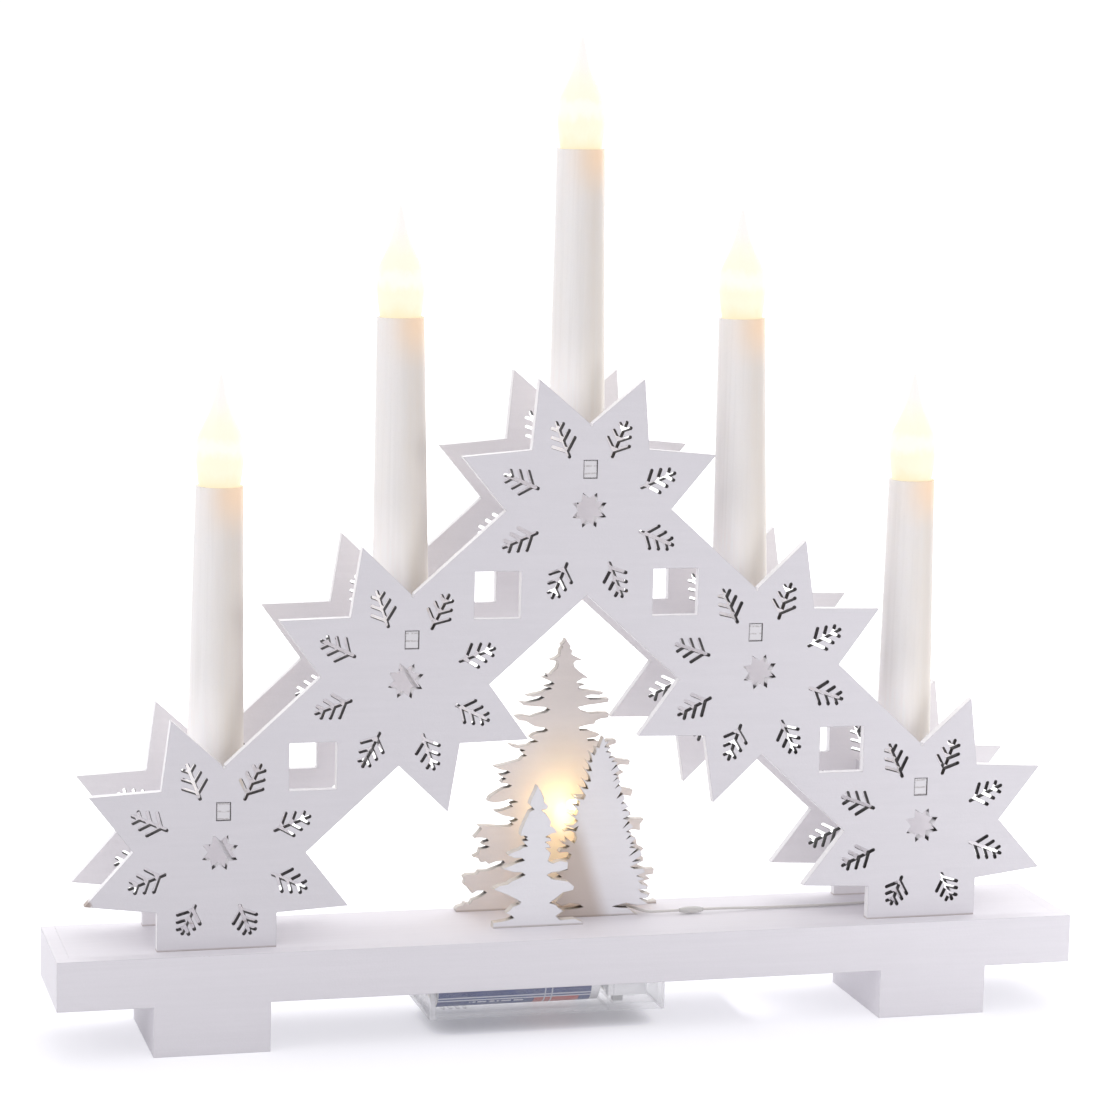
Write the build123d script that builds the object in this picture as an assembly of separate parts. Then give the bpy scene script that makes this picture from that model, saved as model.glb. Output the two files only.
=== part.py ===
from build123d import *
import math
import os

# A candle arch: two star panels stand on a hollow plinth and hold five electric candles between them.
# The origin is under the middle of the plinth, X along its length, Y from front to back, Z up. Millimetres.

# Plinth: a shallow box of boards on two boxed feet
plinth_length = 310.0
plinth_height = 14.5
board = 4.0
foot_height = 14.8
foot_width = 33.9
foot_inset = 27.6

# Star panels
panel_thickness = 3.0
front_setback = 6.5
back_setback = 1.9
star_tip_radius = 41.4
star_notch_radius = 25.0
star_inset = 0.7
outer_star_rise = 28.6
outer_star_turn = 2.1
inner_star_x = 53.95
inner_star_rise = 77.3
inner_star_turn = 3.8
top_star_rise = 126.5
tab_width = 34.6
tab_inset = 2.1
tab_tenon_width = 20.0
relief_diameter = 0.9

# Cut-outs in the star panels
twig_start_radius = 17.0
twig_end_radius = 27.7
twig_slot_width = 1.05
twig_stroke_angle = 50.0
twig_stroke_radii = [18.6, 21.9, 25.2]
twig_stroke_lengths = [4.6, 3.5, 2.3]
short_twig_share = 0.82
small_star_tip_radius = 5.5
small_star_notch_radius = 3.4
window_side = 14.0

# Shelves that carry the candles
shelf_rise = 12.0
shelf_thickness = 5.2
shelf_width = 20.0
shelf_tenon_width = 4.0
shelf_tenon_recess = 0.2

# Candles, from left to right
candle_height = 89.4
candle_foot_diameter = 16.9
candle_rim_diameter = 13.8
candle_wall = 1.0
candle_leans = [0.4, -0.9, -0.5, -1.3, -0.3]
plug_thickness = 5.0
spigot_diameter = 6.4
spigot_drop = 2.0
spigot_clearance = 0.5
flame_height = 32.0
flame_diameter = 14.0
flame_wall = 0.9
flame_tip_wall = 3.0
flame_tip_radius = 0.35
collar_depth = 6.0
lamp_pad_thickness = 1.5
lamp_diameter = 5.0
lamp_height = 9.0
lead_diameter = 1.4

# Fir trees, cut from thin board
tree_thickness = 3.0
tall_tree_width = 63.4
tall_tree_height = 83.4
tall_tree_x = 2.1
middle_tree_width = 26.0
middle_tree_height = 55.3
middle_tree_x = 11.2
middle_tree_y = 3.5
small_tree_width = 27.8
small_tree_height = 42.9
small_tree_x = -11.2
small_tree_y = -5.0
tree_tenon_share = 0.3

# Lamp behind the middle tree, in a block that is glued to it
tree_lamp_diameter = 3.0
tree_lamp_length = 5.4
tree_lamp_rise = 33.6
tree_lamp_share = 0.25
holder_length = 5.0
holder_side = 5.2

# Wires
tree_wire_diameter = 0.8
harness_diameter = 1.2
wire_arc_share = 0.45
edge_inset = 2.4
wire_hole_diameter = 8.0
foot_hole_diameter = 6.0
foot_hole_height = 18.4
sleeve_length = 7.6
sleeve_diameter = 2.1
sleeve_x = 39.8
sleeve_y = 1.7

# Battery box under the plinth
box_left = -45.5
box_wall = 1.6
switch_bay_length = 13.8
lip_height = 0.4
groove_height = 1.3
groove_depth = 0.9
cell_diameter = 14.1
cell_length = 50.5
cell_clearance = 0.25
cell_headroom = 2.5
nub_diameter = 5.2
nub_length = 1.0
contact_width = 8.0
contact_thickness = 0.4
spring_bow = 2.5
grip_rib_width = 0.8
grip_rib_pitch = 2.2
grip_rib_length = 14.0
grip_rib_count = 4
screw_head_diameter = 4.0
screw_head_height = 0.9
screw_diameter = 1.9
screw_bite = 3.0
screw_shares = [0.25, 0.75]
box_wire_hole_diameter = 1.8
box_wire_depth = 3.5
box_wire_spread = 3.0

# Switch in the end of the battery box
switch_length = 9.0
switch_width = 5.0
switch_height = 4.0
knob_length = 3.0
knob_width = 2.6
knob_drop = 1.4
switch_travel = 3.0
flange_margin = 1.6
flange_thickness = 0.9

# Clearances
joint_clearance = 0.3
box_side_clearance = 0.3
slot_clearance = 0.12
collar_clearance = 0.1
screw_clearance = 0.1
wire_clearance = 0.15
lead_gap = 0.12
overrun = 1.0

# Places worked out from the sizes above
plinth_top = foot_height + plinth_height
board_top = plinth_top - board
cell_pitch = cell_diameter + 2 * cell_clearance
box_inner_half = cell_pitch / 2 + cell_diameter / 2 + cell_clearance
box_half = box_inner_half + box_wall
plinth_depth = 2 * (box_half + box_side_clearance + board)
inner_depth = plinth_depth - 2 * board
inner_length = plinth_length - 2 * board
panel_gap = plinth_depth - front_setback - back_setback - 2 * panel_thickness
front_panel_y = -plinth_depth / 2 + front_setback
back_panel_y = front_panel_y + panel_thickness + panel_gap
candle_y = front_panel_y + panel_thickness + panel_gap / 2
tip_offset = 22.5
star_points = 8
tab_tips = (5, 6)
foot_outer_x = plinth_length / 2 - foot_inset
foot_inner_x = foot_outer_x - foot_width
tab_x = foot_outer_x - foot_width / 2 - tab_inset
outer_star_x = tab_x - star_inset
bay_left = box_left + box_wall
bay_right = bay_left + cell_length + contact_thickness + spring_bow
bay_length = bay_right - bay_left
switch_bay_left = bay_right + box_wall
switch_bay_right = switch_bay_left + switch_bay_length
switch_x = (switch_bay_left + switch_bay_right) / 2
box_right = switch_bay_right + box_wall
box_ceiling = board_top - box_wall
groove_top = box_ceiling - cell_headroom - cell_diameter
groove_low = groove_top - groove_height
box_bottom = groove_low - lip_height
cell_z = groove_top + cell_diameter / 2
box_wire_height = box_ceiling - box_wire_depth
screw_xs = [bay_left + share * bay_length for share in screw_shares]
rim_inner_radius = candle_rim_diameter / 2 - candle_wall
harness_y = front_panel_y + panel_thickness + harness_diameter / 2 + wire_clearance
sleeve_z = plinth_top + sleeve_diameter / 2 + wire_clearance

# Stars from left to right: place, height above the plinth, turn, and which tips are left free
stars = [
    (-outer_star_x, outer_star_rise, -outer_star_turn),
    (-inner_star_x, inner_star_rise, -inner_star_turn),
    (0.0, top_star_rise, 0.0),
    (inner_star_x, inner_star_rise, inner_star_turn),
    (outer_star_x, outer_star_rise, outer_star_turn),
]


def block(low, high):
    size = [b - a for a, b in zip(low, high)]
    middle = [(a + b) / 2 for a, b in zip(low, high)]
    return Pos(*middle) * Box(*size)


# A flat shape drawn in X and Z, made solid towards the back from the given Y
def upright(sketch, front_y, thickness):
    return Pos(0, front_y + thickness, 0) * Rot(90, 0, 0) * extrude(sketch, thickness)


# A flat face that looks up, whichever way round its points run
def flat(points):
    face = Polygon(*points, align=None)
    if face.face().normal_at().Z < 0:
        face = Polygon(*points[::-1], align=None)
    return face


def polar(radius, angle):
    return (radius * math.cos(math.radians(angle)), radius * math.sin(math.radians(angle)))


# A point of a star's outline, in the panel's X and Z
def star_point(star, radius, angle):
    x, rise, turn = star
    dx, dz = polar(radius, angle + turn)
    return (x + dx, plinth_top + rise + dz)


def star_outline(star, tip_radius, notch_radius, skipped_tips=()):
    step = 360 / star_points
    points = []
    for k in range(star_points):
        points.append(star_point(star, notch_radius, k * step))
        if k not in skipped_tips:
            points.append(star_point(star, tip_radius, tip_offset + k * step))
    return flat(points)


# The diagonal band between two neighbouring stars, from notch to notch
def band(lower, upper, side):
    near, far = (0, 180) if side > 0 else (180, 0)
    points = [
        star_point(lower, star_notch_radius, 90),
        star_point(upper, star_notch_radius, far),
        star_point(upper, star_notch_radius, 270),
        star_point(lower, star_notch_radius, near),
    ]
    return flat(points)


# One twig lying along X: a stem and three pairs of side strokes. A share below one shortens the stem.
def twig(length_share):
    stem_length = length_share * (twig_end_radius - twig_start_radius)
    shape = Pos(twig_start_radius + stem_length / 2, 0) * SlotCenterToCenter(stem_length, twig_slot_width)
    for radius, length in zip(twig_stroke_radii, twig_stroke_lengths):
        stroke_x = twig_start_radius + length_share * (radius - twig_start_radius)
        for side in (-1, 1):
            stroke = Pos(length / 2, 0) * SlotCenterToCenter(length, twig_slot_width)
            shape = shape + Pos(stroke_x, 0) * Rot(0, 0, side * twig_stroke_angle) * stroke
    return shape


def panel_outline():
    outline = star_outline(stars[2], star_tip_radius, star_notch_radius)
    for star in (stars[1], stars[3]):
        outline = outline + star_outline(star, star_tip_radius, star_notch_radius)
    for star, side in ((stars[0], -1), (stars[4], 1)):
        x = side * tab_x
        tab_height = star[1]
        outline = outline + star_outline(star, star_tip_radius, star_notch_radius, tab_tips)
        outline = outline + Pos(x, plinth_top + tab_height / 2) * Rectangle(tab_width, tab_height)
        outline = outline + Pos(x, plinth_top - board / 2) * Rectangle(tab_tenon_width, board)
    for lower, upper, side in ((0, 1, 1), (1, 2, 1), (4, 3, -1), (3, 2, -1)):
        outline = outline + band(stars[lower], stars[upper], side)
    return outline


def panel_cutouts():
    long_twig = twig(1)
    short_twig = twig(short_twig_share)
    cutouts = []
    for star in stars:
        x, rise, turn = star
        on_tab = star in (stars[0], stars[4])
        for k in range(star_points):
            angle = turn + tip_offset + k * 360 / star_points
            one_twig = short_twig if on_tab and k in tab_tips else long_twig
            cutouts.append(Pos(x, plinth_top + rise) * Rot(0, 0, angle) * one_twig)
        cutouts.append(star_outline(star, small_star_tip_radius, small_star_notch_radius))
        cutouts.append(Pos(*shelf_place(star)) * Rectangle(
            shelf_tenon_width + 2 * slot_clearance, shelf_thickness + 2 * slot_clearance))
        cutouts.append(Pos(*star_point(star, star_notch_radius, 90)) * Circle(relief_diameter / 2))
    for left, right in zip(stars[:-1], stars[1:]):
        middle_x = (left[0] + right[0]) / 2
        middle_z = plinth_top + (left[1] + right[1]) / 2
        cutouts.append(Pos(middle_x, middle_z) * Rectangle(window_side, window_side))
    return cutouts


# Middle of a shelf's tenon in the panel's X and Z: under the notch that the candle stands in
def shelf_place(star):
    return (star_point(star, star_notch_radius, 90)[0], plinth_top + star[1] + shelf_rise)


def star_panel(front_y):
    solid = upright(panel_outline(), front_y, panel_thickness)
    tools = [upright(shape, front_y - overrun, panel_thickness + 2 * overrun) for shape in panel_cutouts()]
    return solid - tools


# The front plate hides the ends of the other boards, the back plate fits between and under them
def foot_plate(front_y, length, top):
    sketch = Pos(0, (foot_height + top) / 2) * Rectangle(length, top - foot_height)
    for side in (-1, 1):
        foot_middle = side * (foot_outer_x - foot_width / 2)
        sketch = sketch + Pos(foot_middle, top / 2) * Rectangle(foot_width, top)
    return upright(sketch, front_y, board)


def top_board():
    solid = block((-inner_length / 2, -inner_depth / 2, board_top),
                  (inner_length / 2, plinth_depth / 2, plinth_top))
    for side in (-1, 1):
        for y in (front_panel_y, back_panel_y):
            solid = solid - slot_hole(side * tab_x, y, tab_tenon_width, panel_thickness)
        hole = Cylinder(wire_hole_diameter / 2, 3 * board)
        solid = solid - Pos(side * outer_star_x, candle_y, board_top) * hole
    for x, y, width in tree_tenons():
        solid = solid - slot_hole(x, y, width, tree_thickness)
    for x in screw_xs:
        pilot = Cylinder(screw_diameter / 2 + screw_clearance, screw_bite + overrun)
        solid = solid - Pos(x, 0, board_top + (screw_bite - overrun) / 2) * pilot
    return solid


def slot_hole(x, front_y, width, thickness):
    return block((x - width / 2 - slot_clearance, front_y - slot_clearance, board_top - overrun),
                 (x + width / 2 + slot_clearance, front_y + thickness + slot_clearance, plinth_top + overrun))


def tree_tenons():
    return [
        (tall_tree_x, back_panel_y, tree_tenon_share * tall_tree_width),
        (middle_tree_x, middle_tree_y, tree_tenon_share * middle_tree_width),
        (small_tree_x, small_tree_y, tree_tenon_share * small_tree_width),
    ]


def end_board(side):
    outer = side * plinth_length / 2
    inner = outer - side * board
    return block((min(outer, inner), -inner_depth / 2, foot_height),
                 (max(outer, inner), plinth_depth / 2, plinth_top))


def foot_board(outer_x, side, wired):
    outer = side * outer_x
    inner = outer - side * board
    solid = block((min(outer, inner), -inner_depth / 2, 0), (max(outer, inner), inner_depth / 2, board_top))
    if wired:
        hole = Rot(0, 90, 0) * Cylinder(foot_hole_diameter / 2, 4 * board)
        solid = solid - Pos(outer, 0, foot_hole_height) * hole
    return solid


# The carrier under one candle, with a tenon through each panel
def candle_shelf(star):
    x, z = shelf_place(star)
    low = z - shelf_thickness / 2
    high = z + shelf_thickness / 2
    inner_y = front_panel_y + panel_thickness
    front_end = front_panel_y + shelf_tenon_recess
    back_end = back_panel_y + panel_thickness - shelf_tenon_recess
    body = block((x - shelf_width / 2, inner_y, low), (x + shelf_width / 2, back_panel_y, high))
    tenon = block((x - shelf_tenon_width / 2, front_end, low), (x + shelf_tenon_width / 2, back_end, high))
    hole = Pos(x, candle_y, z) * Cylinder(spigot_diameter / 2 + spigot_clearance, 2 * shelf_thickness)
    return body + tenon - hole


# Where a candle's foot stands. It is lifted just enough for its lean not to sink an edge into the shelf.
def candle_place(star, lean):
    x, z = shelf_place(star)
    lift = candle_foot_diameter / 2 * math.sin(math.radians(abs(lean)))
    return Pos(x, candle_y, z + shelf_thickness / 2 + lift) * Rot(0, lean, 0)


def candle_radius(height):
    share = height / candle_height
    return ((1 - share) * candle_foot_diameter + share * candle_rim_diameter) / 2


def candle_tube():
    up = (Align.CENTER, Align.CENTER, Align.MIN)
    foot_radius = candle_foot_diameter / 2
    rim_radius = candle_rim_diameter / 2
    outside = Cone(foot_radius, rim_radius, candle_height, align=up)
    inside = Cone(foot_radius - candle_wall, rim_radius - candle_wall, candle_height, align=up)
    return outside - inside


def candle_plug():
    up = (Align.CENTER, Align.CENTER, Align.MIN)
    down = (Align.CENTER, Align.CENTER, Align.MAX)
    top_radius = candle_radius(plug_thickness) - candle_wall
    disc = Cone(candle_radius(0) - candle_wall, top_radius, plug_thickness, align=up)
    spigot = Cylinder(spigot_diameter / 2, shelf_thickness + spigot_drop, align=down)
    bore = Cylinder(lead_diameter / 2 + wire_clearance, 4 * (plug_thickness + shelf_thickness))
    return disc + spigot - bore


# Outline of the flame from its foot to its tip: share of the half width, share of the height
flame_shares = [(0.86, 0.0), (0.94, 0.12), (1.0, 0.27), (0.97, 0.4), (0.75, 0.53), (0.48, 0.66), (0.28, 0.8),
                (0.14, 0.93)]


def flame_face(wall, top_wall):
    half = flame_diameter / 2
    tip = flame_height - top_wall
    points = [(share * half - wall, 0, rise * tip) for share, rise in flame_shares]
    points = [point for point in points if point[0] > flame_tip_radius]
    points.append((flame_tip_radius, 0, tip))
    side = Spline(*points)
    outline = side + Polyline(points[-1], (0, 0, tip), (0, 0, 0), points[0])
    return make_face(outline.edges())


# A hollow flame on a collar that fits in the rim of the tube
def flame_bulb():
    down = (Align.CENTER, Align.CENTER, Align.MAX)
    collar_radius = rim_inner_radius - collar_clearance
    outside = revolve(flame_face(0, 0), Axis.Z) + Cylinder(collar_radius, collar_depth, align=down)
    inside = revolve(flame_face(flame_wall, flame_tip_wall), Axis.Z)
    bore = Cylinder(collar_radius - flame_wall, collar_depth, align=down)
    return Pos(0, 0, candle_height) * (outside - inside - bore)


# A lamp on a round pad at the bottom of the flame's collar
def candle_lamp():
    up = (Align.CENTER, Align.CENTER, Align.MIN)
    pad_radius = rim_inner_radius - collar_clearance - flame_wall
    lamp_radius = lamp_diameter / 2
    pad = Cylinder(pad_radius, lamp_pad_thickness, align=up)
    body = Cylinder(lamp_radius, lamp_height - lamp_radius, align=up)
    dome = Pos(0, 0, lamp_height - lamp_radius) * Sphere(lamp_radius)
    return Pos(0, 0, candle_height - collar_depth) * (pad + body + dome)


# The lead inside a tube, from the spigot's mouth to the lamp's pad
def candle_lead():
    low = -shelf_thickness - spigot_drop
    height = candle_height - collar_depth - low
    return Pos(0, 0, low + height / 2) * Cylinder(lead_diameter / 2, height)


# Half outlines of the trees from the foot to the tip: share of the width from the axis, share of the height
tall_left_shares = [
    (-0.512, 0.0), (-0.515, 0.01), (-0.503, 0.019), (-0.476, 0.024), (-0.469, 0.033), (-0.444, 0.026),
    (-0.432, 0.041), (-0.4, 0.049), (-0.378, 0.058), (-0.362, 0.068), (-0.377, 0.076), (-0.411, 0.077),
    (-0.435, 0.067), (-0.448, 0.079), (-0.456, 0.09), (-0.476, 0.1), (-0.471, 0.117), (-0.481, 0.128),
    (-0.462, 0.137), (-0.413, 0.137), (-0.403, 0.148), (-0.359, 0.148), (-0.32, 0.158), (-0.288, 0.167),
    (-0.276, 0.178), (-0.283, 0.185), (-0.32, 0.183), (-0.355, 0.174), (-0.372, 0.184), (-0.394, 0.181),
    (-0.402, 0.196), (-0.434, 0.203), (-0.405, 0.213), (-0.401, 0.23), (-0.371, 0.233), (-0.352, 0.238),
    (-0.371, 0.244), (-0.391, 0.248), (-0.382, 0.255), (-0.357, 0.26), (-0.367, 0.27), (-0.382, 0.272),
    (-0.402, 0.274), (-0.431, 0.273), (-0.412, 0.29), (-0.393, 0.306), (-0.413, 0.319), (-0.364, 0.316),
    (-0.304, 0.312), (-0.255, 0.311), (-0.238, 0.318), (-0.251, 0.326), (-0.231, 0.329), (-0.216, 0.336),
    (-0.236, 0.344), (-0.291, 0.353), (-0.331, 0.369), (-0.291, 0.372), (-0.262, 0.378), (-0.242, 0.385),
    (-0.255, 0.393), (-0.243, 0.398), (-0.216, 0.401), (-0.243, 0.409), (-0.261, 0.413), (-0.292, 0.405),
    (-0.327, 0.402), (-0.366, 0.407), (-0.357, 0.423), (-0.318, 0.441), (-0.289, 0.453), (-0.262, 0.456),
    (-0.25, 0.463), (-0.275, 0.471), (-0.304, 0.474), (-0.295, 0.483), (-0.278, 0.488), (-0.295, 0.496),
    (-0.312, 0.502), (-0.281, 0.505), (-0.259, 0.512), (-0.276, 0.519), (-0.311, 0.524), (-0.34, 0.534),
    (-0.296, 0.54), (-0.252, 0.548), (-0.213, 0.555), (-0.199, 0.566), (-0.179, 0.572), (-0.199, 0.58),
    (-0.207, 0.588), (-0.187, 0.591), (-0.209, 0.597), (-0.249, 0.604), (-0.274, 0.617), (-0.215, 0.607),
    (-0.175, 0.609), (-0.156, 0.618), (-0.124, 0.623), (-0.146, 0.629), (-0.166, 0.637), (-0.149, 0.649),
    (-0.122, 0.656), (-0.093, 0.657), (-0.078, 0.664), (-0.098, 0.674), (-0.143, 0.679), (-0.168, 0.69),
    (-0.188, 0.7), (-0.222, 0.703), (-0.243, 0.718), (-0.203, 0.721), (-0.159, 0.714), (-0.129, 0.723),
    (-0.09, 0.729), (-0.071, 0.74), (-0.096, 0.75), (-0.145, 0.753), (-0.2, 0.758), (-0.225, 0.773),
    (-0.185, 0.766), (-0.151, 0.771), (-0.121, 0.776), (-0.099, 0.785), (-0.117, 0.791), (-0.151, 0.788),
    (-0.186, 0.792), (-0.147, 0.799), (-0.107, 0.804), (-0.093, 0.811), (-0.063, 0.816), (-0.073, 0.821),
    (-0.098, 0.825), (-0.069, 0.829), (-0.052, 0.834), (-0.067, 0.843), (-0.084, 0.849), (-0.109, 0.857),
    (-0.085, 0.862), (-0.095, 0.873), (-0.07, 0.867), (-0.06, 0.878), (-0.041, 0.891), (-0.034, 0.907),
    (-0.039, 0.918), (-0.072, 0.921), (-0.045, 0.929), (-0.028, 0.938), (-0.026, 0.958), (-0.014, 0.969),
    (-0.022, 0.977), (-0.007, 0.986),
]
tall_right_shares = [
    (0.01, 0.987), (0.025, 0.972), (0.021, 0.963), (0.033, 0.956), (0.029, 0.941), (0.052, 0.931),
    (0.082, 0.92), (0.052, 0.918), (0.04, 0.909), (0.048, 0.893), (0.068, 0.879), (0.116, 0.853),
    (0.089, 0.853), (0.074, 0.846), (0.057, 0.839), (0.075, 0.829), (0.1, 0.827), (0.078, 0.824),
    (0.065, 0.817), (0.09, 0.809), (0.135, 0.804), (0.195, 0.796), (0.176, 0.789), (0.131, 0.791),
    (0.099, 0.785), (0.127, 0.773), (0.176, 0.772), (0.221, 0.775), (0.217, 0.762), (0.167, 0.757),
    (0.112, 0.753), (0.068, 0.746), (0.088, 0.731), (0.128, 0.721), (0.178, 0.722), (0.221, 0.721),
    (0.221, 0.704), (0.184, 0.701), (0.159, 0.694), (0.15, 0.682), (0.115, 0.679), (0.075, 0.672),
    (0.081, 0.659), (0.126, 0.658), (0.141, 0.652), (0.181, 0.642), (0.161, 0.633), (0.117, 0.629),
    (0.122, 0.619), (0.162, 0.62), (0.182, 0.612), (0.207, 0.606), (0.222, 0.621), (0.262, 0.62),
    (0.262, 0.607), (0.222, 0.598), (0.203, 0.576), (0.234, 0.557), (0.279, 0.547), (0.335, 0.541),
    (0.33, 0.525), (0.285, 0.528), (0.246, 0.514), (0.276, 0.507), (0.306, 0.499), (0.277, 0.487),
    (0.287, 0.474), (0.253, 0.456), (0.283, 0.446), (0.314, 0.437), (0.354, 0.431), (0.345, 0.408),
    (0.309, 0.413), (0.27, 0.395), (0.305, 0.387), (0.331, 0.371), (0.302, 0.353), (0.342, 0.35),
    (0.347, 0.337), (0.313, 0.327), (0.353, 0.322), (0.414, 0.32), (0.394, 0.302), (0.395, 0.279),
    (0.354, 0.284), (0.32, 0.27), (0.355, 0.262), (0.376, 0.246), (0.382, 0.223), (0.418, 0.209),
    (0.398, 0.196), (0.389, 0.182), (0.414, 0.177), (0.415, 0.162), (0.385, 0.152), (0.4, 0.14),
    (0.441, 0.131), (0.471, 0.132), (0.467, 0.111), (0.427, 0.109), (0.453, 0.093), (0.417, 0.086),
    (0.443, 0.07), (0.439, 0.055), (0.403, 0.057), (0.419, 0.045), (0.455, 0.038), (0.445, 0.025),
    (0.405, 0.022), (0.436, 0.01), (0.456, 0.006), (0.486, 0.012), (0.487, 0.0),
]
middle_left_shares = [
    (-0.517, 0.0), (-0.471, 0.022), (-0.399, 0.043), (-0.291, 0.046), (-0.189, 0.055), (-0.244, 0.071),
    (-0.353, 0.081), (-0.449, 0.066), (-0.522, 0.085), (-0.464, 0.117), (-0.405, 0.15), (-0.479, 0.179),
    (-0.541, 0.214), (-0.458, 0.229), (-0.519, 0.25), (-0.459, 0.26), (-0.388, 0.269), (-0.461, 0.29),
    (-0.522, 0.317), (-0.45, 0.321), (-0.373, 0.328), (-0.35, 0.352), (-0.405, 0.367), (-0.501, 0.366),
    (-0.478, 0.383), (-0.406, 0.387), (-0.371, 0.4), (-0.455, 0.413), (-0.48, 0.43), (-0.432, 0.421),
    (-0.402, 0.434), (-0.421, 0.451), (-0.36, 0.425), (-0.317, 0.413), (-0.289, 0.443), (-0.308, 0.472),
    (-0.375, 0.484), (-0.447, 0.482), (-0.388, 0.492), (-0.303, 0.48), (-0.274, 0.51), (-0.328, 0.497),
    (-0.425, 0.515), (-0.341, 0.517), (-0.282, 0.538), (-0.319, 0.552), (-0.392, 0.579), (-0.308, 0.566),
    (-0.279, 0.593), (-0.347, 0.628), (-0.275, 0.621), (-0.264, 0.646), (-0.325, 0.664), (-0.35, 0.684),
    (-0.289, 0.66), (-0.216, 0.656), (-0.194, 0.678), (-0.231, 0.701), (-0.269, 0.732), (-0.22, 0.715),
    (-0.166, 0.714), (-0.185, 0.736), (-0.235, 0.771), (-0.18, 0.753), (-0.138, 0.755), (-0.151, 0.783),
    (-0.214, 0.826), (-0.177, 0.811), (-0.129, 0.813), (-0.149, 0.838), (-0.199, 0.875), (-0.156, 0.858),
    (-0.126, 0.863), (-0.133, 0.888), (-0.159, 0.919), (-0.104, 0.899), (-0.081, 0.918), (-0.088, 0.943),
    (-0.046, 0.939), (-0.03, 0.964),
]
middle_right_shares = [
    (0.024, 0.972), (0.066, 0.974), (0.014, 0.944), (0.092, 0.94), (0.033, 0.916), (0.106, 0.91),
    (0.071, 0.882), (0.15, 0.884), (0.103, 0.86), (0.181, 0.858), (0.1, 0.81), (0.176, 0.839),
    (0.208, 0.814), (0.125, 0.787), (0.198, 0.783), (0.121, 0.748), (0.187, 0.769), (0.224, 0.749),
    (0.148, 0.709), (0.213, 0.73), (0.239, 0.702), (0.175, 0.653), (0.258, 0.679), (0.278, 0.651),
    (0.231, 0.624), (0.292, 0.626), (0.323, 0.608), (0.246, 0.585), (0.331, 0.583), (0.344, 0.561),
    (0.255, 0.54), (0.334, 0.533), (0.258, 0.484), (0.347, 0.519), (0.385, 0.493), (0.301, 0.466),
    (0.375, 0.459), (0.298, 0.422), (0.364, 0.44), (0.425, 0.43), (0.354, 0.398), (0.433, 0.397),
    (0.343, 0.379), (0.441, 0.371), (0.34, 0.328), (0.478, 0.365), (0.504, 0.334), (0.384, 0.297),
    (0.506, 0.3), (0.362, 0.269), (0.411, 0.257), (0.521, 0.257), (0.546, 0.237), (0.438, 0.217),
    (0.549, 0.198), (0.464, 0.188), (0.502, 0.171), (0.588, 0.155), (0.552, 0.139), (0.467, 0.143),
    (0.505, 0.123), (0.603, 0.107), (0.568, 0.09), (0.482, 0.092), (0.594, 0.056), (0.472, 0.053),
    (0.325, 0.067), (0.253, 0.06), (0.156, 0.051), (0.254, 0.043), (0.351, 0.039), (0.414, 0.012),
    (0.476, 0.0),
]
small_left_shares = [
    (-0.46, 0.0), (-0.456, 0.039), (-0.373, 0.044), (-0.296, 0.052), (-0.23, 0.068), (-0.259, 0.087),
    (-0.32, 0.103), (-0.277, 0.123), (-0.244, 0.147), (-0.173, 0.163), (-0.157, 0.18), (-0.224, 0.207),
    (-0.314, 0.238), (-0.392, 0.258), (-0.458, 0.277), (-0.393, 0.301), (-0.305, 0.309), (-0.262, 0.329),
    (-0.185, 0.348), (-0.114, 0.371), (-0.153, 0.39), (-0.253, 0.396), (-0.364, 0.42), (-0.266, 0.443),
    (-0.2, 0.459), (-0.123, 0.474), (-0.157, 0.493), (-0.245, 0.495), (-0.312, 0.518), (-0.247, 0.538),
    (-0.181, 0.551), (-0.149, 0.567), (-0.094, 0.573), (-0.127, 0.592), (-0.145, 0.61), (-0.09, 0.616),
    (-0.118, 0.63), (-0.096, 0.641), (-0.135, 0.652), (-0.174, 0.65), (-0.169, 0.685), (-0.143, 0.727),
    (-0.112, 0.772), (-0.08, 0.817), (-0.031, 0.834), (-0.06, 0.852), (-0.082, 0.867), (-0.067, 0.902),
    (-0.03, 0.95),
]
small_right_shares = [
    (0.042, 0.956), (0.071, 0.913), (0.077, 0.884), (0.128, 0.855), (0.107, 0.831), (0.046, 0.828),
    (0.091, 0.806), (0.132, 0.77), (0.16, 0.741), (0.145, 0.713), (0.19, 0.697), (0.23, 0.664),
    (0.169, 0.659), (0.098, 0.636), (0.159, 0.624), (0.166, 0.606), (0.094, 0.6), (0.139, 0.581),
    (0.162, 0.556), (0.101, 0.558), (0.163, 0.52), (0.132, 0.464), (0.188, 0.445), (0.266, 0.461),
    (0.355, 0.448), (0.351, 0.401), (0.257, 0.386), (0.18, 0.381), (0.125, 0.365), (0.181, 0.335),
    (0.271, 0.322), (0.36, 0.312), (0.429, 0.274), (0.419, 0.25), (0.308, 0.235), (0.242, 0.201),
    (0.16, 0.164), (0.233, 0.148), (0.262, 0.125), (0.313, 0.102), (0.236, 0.069), (0.282, 0.039),
    (0.36, 0.04), (0.449, 0.041), (0.534, 0.017), (0.541, 0.0),
]


# A tree stands on the plinth with a short tenon in a slot of the top board
def fir_tree(left_shares, right_shares, width, height, x, front_y):
    shares = left_shares + [(0.0, 1.0)] + right_shares
    outline = flat([(x + share * width, plinth_top + rise * height) for share, rise in shares])
    tenon_width = tree_tenon_share * width
    tenon_height = board + overrun
    tenon = Pos(x, board_top + tenon_height / 2) * Rectangle(tenon_width, tenon_height)
    return upright(outline + tenon, front_y, tree_thickness)


def lamp_axis():
    y = middle_tree_y + tree_thickness + holder_side / 2
    return (middle_tree_x - tree_lamp_share * middle_tree_width, y, plinth_top + tree_lamp_rise)


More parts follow.
